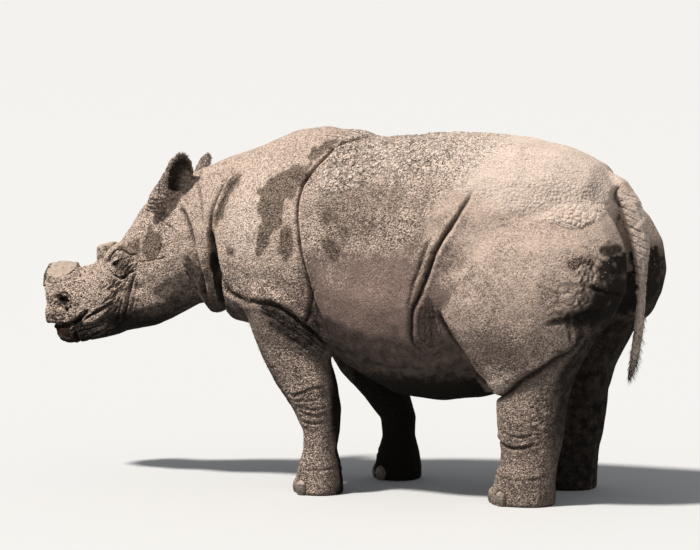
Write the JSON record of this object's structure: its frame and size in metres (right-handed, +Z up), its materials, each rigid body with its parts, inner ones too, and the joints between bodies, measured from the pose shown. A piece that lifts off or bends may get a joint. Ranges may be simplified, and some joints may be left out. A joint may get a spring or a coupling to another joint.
{
  "type": "rhinoceros model",
  "caption": "Still, life-size museum model of a standing Sumatran rhinoceros, with a low head, cupped ears, worn horn stumps, folded hide, a hanging tail and hoofed feet flat on the floor.",
  "frame": {"origin": "on the floor, below the middle of the bounding box", "axes": "-X to the front of the animal, -Y to its left, +Z up"},
  "size_m": [2.3358, 0.8156, 1.299],
  "materials": {
    "hide": "dry, cracked mud over thick grey-brown hide",
    "horn": "worn, dusty keratin",
    "nail": "dull, scuffed keratin",
    "eye": "wet gloss"
  },
  "bodies": {
    "root": {"head": "hide", "lower_jaw": "hide", "neck": "hide", "shoulders": "hide", "barrel": "hide", "hindquarters": "hide", "tail": "hide", "ear_left": "hide", "ear_right": "hide", "foreleg_left": "hide", "forefoot_left": "hide", "hindleg_left": "hide", "hindfoot_left": "hide", "forenail_left_inner": "nail", "forenail_left_middle": "nail", "forenail_left_outer": "nail", "hindnail_left_inner": "nail", "hindnail_left_middle": "nail", "hindnail_left_outer": "nail", "eye_left": "eye", "foreleg_right": "hide", "forefoot_right": "hide", "hindleg_right": "hide", "hindfoot_right": "hide", "forenail_right_inner": "nail", "forenail_right_middle": "nail", "forenail_right_outer": "nail", "hindnail_right_inner": "nail", "hindnail_right_middle": "nail", "hindnail_right_outer": "nail", "eye_right": "eye", "horn_front": "horn", "horn_rear": "horn"}
  },
  "joints": []
}
